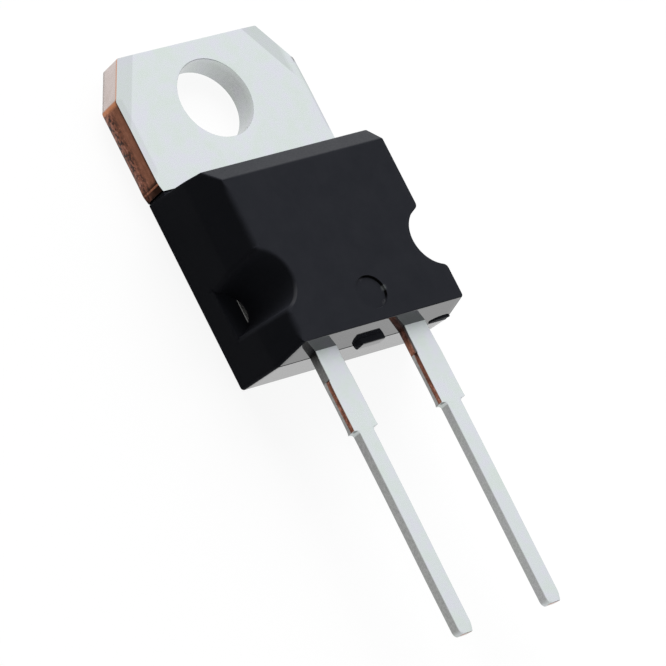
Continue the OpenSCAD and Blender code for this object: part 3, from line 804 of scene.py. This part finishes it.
def plain(name, tones, rough, metallic, scale):
    """A finish for a piece inside the moulding: two close tones in a fine pattern."""
    material, tree, shader, coords = new_material(name)
    fine = noise(tree, coords, scale, 3.0, 0.55)
    tree.links.new(colours(tree, fine, tuple(zip((0.3, 0.7), tones))), shader.inputs["Base Color"])
    tree.links.new(span(tree, fine, rough - 0.06, rough + 0.06), shader.inputs["Roughness"])
    shader.inputs["Metallic"].default_value = metallic
    return material


metal = tin_plate()
matte = epoxy("epoxy_matte", (0.48, 0.62), 0.03, 1.5, 0.25)
satin = epoxy("epoxy_satin", (0.36, 0.48), 0.085, 1.5, 0.20)
polished = epoxy("epoxy_polished", (0.045, 0.070), 0.5, 2.1, 0.0)

# Pieces. The cathode's strap climbs from its foot on the header, and the anode's post is a wider plate.
body_piece = moulding(matte, polished, satin)
tab_piece = tab(metal)
fall = LEAD_BACK - TAB_T
climb = math.atan(fall / (STRAP_BEND - ANCHOR_Y))
lap = (LEAD_FRONT - LEAD_BACK) * math.tan(climb / 2)
strap = [(STRAP_FOOT, STRAP_HALF, fall), (STRAP_BEND + lap / 2, STRAP_HALF, fall),
         (ANCHOR_Y + lap / 2, STRAP_HALF, 0), (ANCHOR_Y - 0.2, STRAP_HALF, 0),
         (ANCHOR_Y - 0.21, ROOT_HALF, 0)]
post = [(ANCHOR_Y + 1.3, POST_HALF, 0), (ANCHOR_Y, POST_HALF, 0), (ANCHOR_Y - 0.01, ROOT_HALF, 0)]
cathode_piece = lead("cathode_lead_shape", metal, -LEAD_X, strap, root_copper=False, nearer=0.0, sway=-0.048)
anode_piece = lead("anode_lead_shape", metal, LEAD_X, post, root_copper=True, nearer=0.10, sway=-0.025)
for piece, node, slot in ((body_piece, "mould_body", "epoxy"), (tab_piece, "mounting_tab", "tinned_copper"),
                          (cathode_piece, "cathode_lead", "tinned_copper"),
                          (anode_piece, "anode_lead", "tinned_copper")):
    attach(piece, "root")
    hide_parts(node)

inner = {
    "diode_chip": plain("silicon", ((0.06, 0.062, 0.07), (0.09, 0.092, 0.10)), 0.25, 0.0, 2500.0),
    "chip_solder": plain("solder", ((0.33, 0.335, 0.34), (0.42, 0.425, 0.43)), 0.45, 1.0, 4000.0),
    "bond_wire_left": plain("aluminium_wire", ((0.62, 0.63, 0.64), (0.70, 0.71, 0.72)), 0.3, 1.0, 6000.0)}
inner["bond_wire_right"] = inner["bond_wire_left"]
for node, material in inner.items():
    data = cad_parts[node].data
    data.materials.clear()
    data.materials.append(material)


# Floor, light and camera, in metres

def make_floor():
    """A large pale floor: white to the camera apart from the soft shadow, greyer as a source of light."""
    mesh, size = bpy.data.meshes.new("floor"), 1.5
    corners = [(-size, -size, 0), (size, -size, 0), (size, size, 0), (-size, size, 0)]
    mesh.from_pydata(corners, [], [(0, 1, 2, 3)])
    obj = bpy.data.objects.new("floor", mesh)
    obj.location.z = -0.00002
    bpy.context.scene.collection.objects.link(obj)
    material = bpy.data.materials.new("floor_white")
    material.use_nodes = True
    tree = material.node_tree
    tree.nodes.clear()
    path = wire(tree, "ShaderNodeLightPath").outputs
    seen = wire(tree, "ShaderNodeMath", path["Is Camera Ray"], path["Is Glossy Ray"], operation="MAXIMUM")
    seen = wire(tree, "ShaderNodeMath", seen.outputs[0], path["Is Transmission Ray"], operation="MAXIMUM")
    glow = wire(tree, "ShaderNodeEmission", Strength=0.90)
    pale = wire(tree, "ShaderNodeBsdfDiffuse", Color=(0.17, 0.17, 0.17, 1))
    white = wire(tree, "ShaderNodeAddShader", glow.outputs[0], pale.outputs[0])
    both = wire(tree, "ShaderNodeMixShader", seen.outputs[0], pale.outputs[0], white.outputs[0])
    wire(tree, "ShaderNodeOutputMaterial", both.outputs[0])
    mesh.materials.append(material)


def make_world():
    """White to the camera. Reflections show one dark card in front, and as a light it fades to the left."""
    world = bpy.data.worlds.new("studio")
    bpy.context.scene.world = world
    world.use_nodes = True
    tree = world.node_tree
    tree.nodes.clear()
    path = wire(tree, "ShaderNodeLightPath").outputs
    way = wire(tree, "ShaderNodeTexCoord").outputs["Generated"]
    across = wire(tree, "ShaderNodeSeparateXYZ", way).outputs["X"]
    fill = wire(tree, "ShaderNodeMapRange", across, From_Min=-0.5, From_Max=0.8, To_Min=0.02, To_Max=0.70)
    card = wire(tree, "ShaderNodeVectorMath", way, operation="DOT_PRODUCT")
    card.inputs[1].default_value = Vector((0.55, -0.60, 0.58)).normalized()
    gloss = wire(tree, "ShaderNodeMapRange", card.outputs["Value"], interpolation_type="SMOOTHSTEP",
                 From_Min=0.68, From_Max=0.90, To_Min=1.0, To_Max=0.28)
    level = wire(tree, "ShaderNodeMix", path["Is Glossy Ray"])
    tree.links.new(fill.outputs[0], level.inputs[2])
    tree.links.new(gloss.outputs[0], level.inputs[3])
    clear = wire(tree, "ShaderNodeMath", path["Is Camera Ray"], path["Is Transmission Ray"],
                 operation="MAXIMUM")
    final = wire(tree, "ShaderNodeMix", clear.outputs[0])
    tree.links.new(level.outputs[0], final.inputs[2])
    final.inputs[3].default_value = 1.0
    sky = wire(tree, "ShaderNodeBackground", Color=(1, 1, 1, 1))
    tree.links.new(final.outputs[0], sky.inputs["Strength"])
    wire(tree, "ShaderNodeOutputWorld", sky.outputs[0])


def make_key():
    """One large soft box behind the object, above it and a little to the right."""
    data = bpy.data.lights.new("soft_box", "AREA")
    data.shape, data.size, data.energy = "SQUARE", 1.0, 7.5
    obj = bpy.data.objects.new("soft_box", data)
    direction = Vector((0.32, 0.76, 0.57)).normalized()
    obj.location = direction * 1.0
    obj.rotation_mode = "QUATERNION"
    obj.rotation_quaternion = direction.to_track_quat("Z", "Y")
    obj.visible_glossy = False
    bpy.context.scene.collection.objects.link(obj)


def make_camera():
    """A long lens at the photograph's place, given by where it stands, where it looks and which way is up."""
    data = bpy.data.cameras.new("photo_camera")
    data.sensor_fit, data.sensor_width, data.lens = "HORIZONTAL", 36.0, 327.926
    data.clip_start, data.clip_end = 0.01, 10.0
    obj = bpy.data.objects.new("photo_camera", data)
    place = Vector((-0.164506, -0.068161, 0.190302))
    ahead = Vector((0.640114, 0.220419, -0.735982)).normalized()
    right = ahead.cross(Vector((0.211922, 0.870138, 0.444915))).normalized()
    up = right.cross(ahead)
    turn = Matrix((right, up, -ahead)).transposed().to_4x4()
    obj.matrix_world = Matrix.Translation(place) @ turn
    bpy.context.scene.collection.objects.link(obj)
    bpy.context.scene.camera = obj


make_floor()
make_world()
make_key()
make_camera()
bpy.context.scene.view_settings.view_transform = "Standard"
